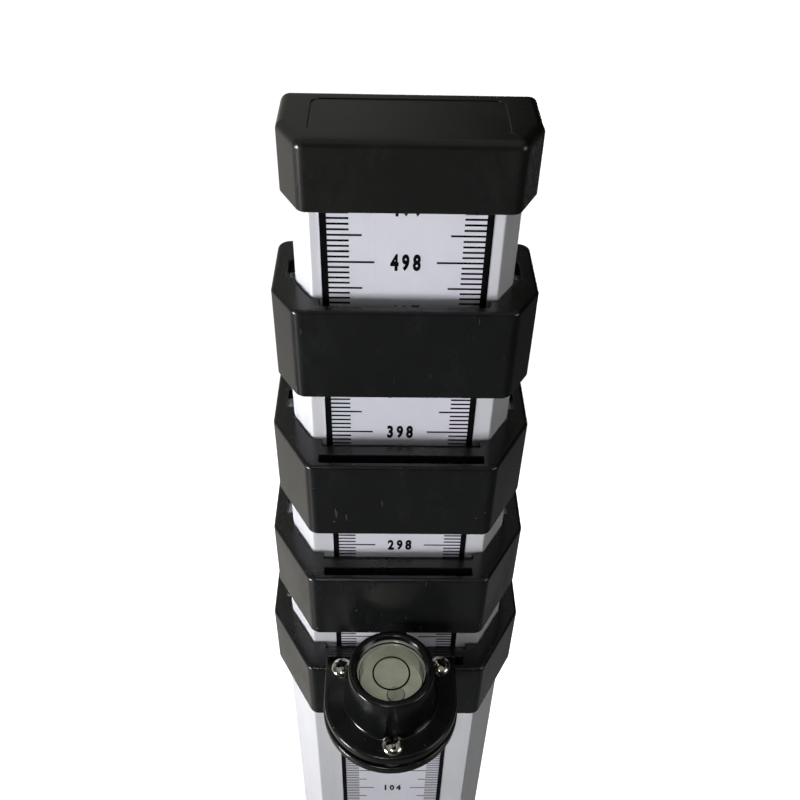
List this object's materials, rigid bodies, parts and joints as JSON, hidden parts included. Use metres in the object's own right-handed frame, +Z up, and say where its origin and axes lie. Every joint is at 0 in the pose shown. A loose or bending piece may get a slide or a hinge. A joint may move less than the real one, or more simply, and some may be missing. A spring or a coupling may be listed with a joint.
{
  "type": "telescopic leveling rod",
  "caption": "Collapsed telescopic leveling rod of nested chamfered aluminium sections with black collars, top cap, spring lock buttons, foot and a clip-on circular level.",
  "frame": {"origin": "centre of the ground face of the foot, midway across the width and depth of the sections", "axes": "+Z up along the rod, +X across its width, -Y towards the millimetre scale and the circular level"},
  "size_m": [0.0572, 0.0603, 1.2296],
  "materials": {
    "anodised_aluminium": "satin anodised extrusion",
    "black_abs": "semi-gloss black ABS, lightly scuffed",
    "black_nylon": "matt black nylon",
    "zinc_steel": "zinc-plated steel",
    "nickel_steel": "nickel-plated steel, slightly warm",
    "spring_steel": "spring wire",
    "black_steel": "black painted steel",
    "rubber": "matt",
    "acrylic": "clear acrylic",
    "vial_fluid": "pale green spirit seen through the lens",
    "vial_white": "pale moulded cup",
    "vial_bubble": "gas bubble"
  },
  "bodies": {
    "base": {"base_tube": "anodised_aluminium", "foot_shoe": "black_abs", "foot_plate": "zinc_steel", "foot_screw_left": "zinc_steel", "foot_screw_right": "zinc_steel", "collar_1": "black_abs", "collar_1_screw_left": "zinc_steel", "collar_1_screw_right": "zinc_steel", "level_plate": "black_steel", "level_housing": "black_abs", "level_vial_cup": "vial_white", "level_vial_fluid": "vial_fluid", "level_vial_bubble": "vial_bubble", "level_vial_lens": "acrylic", "level_spacer_left": "rubber", "level_spacer_right": "rubber", "level_spacer_front": "rubber"},
    "section_2": {"section_2_tube": "anodised_aluminium", "section_2_end_block": "black_nylon", "section_2_button_spring": "spring_steel", "collar_2": "black_abs", "collar_2_screw_left": "zinc_steel", "collar_2_screw_right": "zinc_steel"},
    "section_3": {"section_3_tube": "anodised_aluminium", "section_3_end_block": "black_nylon", "section_3_button_spring": "spring_steel", "collar_3": "black_abs", "collar_3_screw_left": "zinc_steel", "collar_3_screw_right": "zinc_steel"},
    "section_4": {"section_4_tube": "anodised_aluminium", "section_4_end_block": "black_nylon", "section_4_button_spring": "spring_steel", "collar_4": "black_abs", "collar_4_screw_left": "zinc_steel", "collar_4_screw_right": "zinc_steel"},
    "section_5": {"section_5_tube": "anodised_aluminium", "section_5_end_block": "black_nylon", "section_5_button_spring": "spring_steel", "top_cap": "black_abs", "top_cap_screw_left": "zinc_steel", "top_cap_screw_right": "zinc_steel"},
    "lock_button_2_left": {"section_2_button_left": "nickel_steel"},
    "lock_button_2_right": {"section_2_button_right": "nickel_steel"},
    "lock_button_3_left": {"section_3_button_left": "nickel_steel"},
    "lock_button_3_right": {"section_3_button_right": "nickel_steel"},
    "lock_button_4_left": {"section_4_button_left": "nickel_steel"},
    "lock_button_4_right": {"section_4_button_right": "nickel_steel"},
    "lock_button_5_left": {"section_5_button_left": "nickel_steel"},
    "lock_button_5_right": {"section_5_button_right": "nickel_steel"},
    "level_adjuster_left": {"level_screw_left": "nickel_steel"},
    "level_adjuster_right": {"level_screw_right": "nickel_steel"},
    "level_adjuster_front": {"level_screw_front": "nickel_steel"}
  },
  "joints": [
    {"name": "section_2_slide", "type": "slide", "parent": "base", "child": "section_2", "axis": [0, 0, 1], "range_m": [0, 0.869]},
    {"name": "section_3_slide", "type": "slide", "parent": "section_2", "child": "section_3", "axis": [0, 0, 1], "range_m": [0, 0.9697]},
    {"name": "section_4_slide", "type": "slide", "parent": "section_3", "child": "section_4", "axis": [0, 0, 1], "range_m": [0, 0.9695]},
    {"name": "section_5_slide", "type": "slide", "parent": "section_4", "child": "section_5", "axis": [0, 0, 1], "range_m": [0, 0.9642]},
    {"name": "lock_button_2_left_press", "type": "slide", "parent": "section_2", "child": "lock_button_2_left", "axis": [1, 0, 0], "range_m": [0, 0.0012], "stiffness_N_per_m": 60, "springref_m": -0.005, "deforming": ["section_2_button_spring"]},
    {"name": "lock_button_2_right_press", "type": "slide", "parent": "section_2", "child": "lock_button_2_right", "axis": [-1, 0, 0], "range_m": [0, 0.0012], "stiffness_N_per_m": 60, "springref_m": -0.005, "deforming": ["section_2_button_spring"]},
    {"name": "lock_button_3_left_press", "type": "slide", "parent": "section_3", "child": "lock_button_3_left", "axis": [1, 0, 0], "range_m": [0, 0.0012], "stiffness_N_per_m": 60, "springref_m": -0.005, "deforming": ["section_3_button_spring"]},
    {"name": "lock_button_3_right_press", "type": "slide", "parent": "section_3", "child": "lock_button_3_right", "axis": [-1, 0, 0], "range_m": [0, 0.0012], "stiffness_N_per_m": 60, "springref_m": -0.005, "deforming": ["section_3_button_spring"]},
    {"name": "lock_button_4_left_press", "type": "slide", "parent": "section_4", "child": "lock_button_4_left", "axis": [1, 0, 0], "range_m": [0, 0.0012], "stiffness_N_per_m": 60, "springref_m": -0.005, "deforming": ["section_4_button_spring"]},
    {"name": "lock_button_4_right_press", "type": "slide", "parent": "section_4", "child": "lock_button_4_right", "axis": [-1, 0, 0], "range_m": [0, 0.0012], "stiffness_N_per_m": 60, "springref_m": -0.005, "deforming": ["section_4_button_spring"]},
    {"name": "lock_button_5_left_press", "type": "slide", "parent": "section_5", "child": "lock_button_5_left", "axis": [1, 0, 0], "range_m": [0, 0.0012], "stiffness_N_per_m": 60, "springref_m": -0.005, "deforming": ["section_5_button_spring"]},
    {"name": "lock_button_5_right_press", "type": "slide", "parent": "section_5", "child": "lock_button_5_right", "axis": [-1, 0, 0], "range_m": [0, 0.0012], "stiffness_N_per_m": 60, "springref_m": -0.005, "deforming": ["section_5_button_spring"]},
    {"name": "level_adjuster_left_turn", "type": "hinge", "parent": "base", "child": "level_adjuster_left", "pos_m": [-0.01175, -0.0233, 1.1124], "axis": [0, 0, 1], "continuous": true},
    {"name": "level_adjuster_right_turn", "type": "hinge", "parent": "base", "child": "level_adjuster_right", "pos_m": [0.00935, -0.0227, 1.1124], "axis": [0, 0, 1], "continuous": true},
    {"name": "level_adjuster_front_turn", "type": "hinge", "parent": "base", "child": "level_adjuster_front", "pos_m": [-0.00085, -0.0407, 1.1124], "axis": [0, 0, 1], "continuous": true}
  ]
}
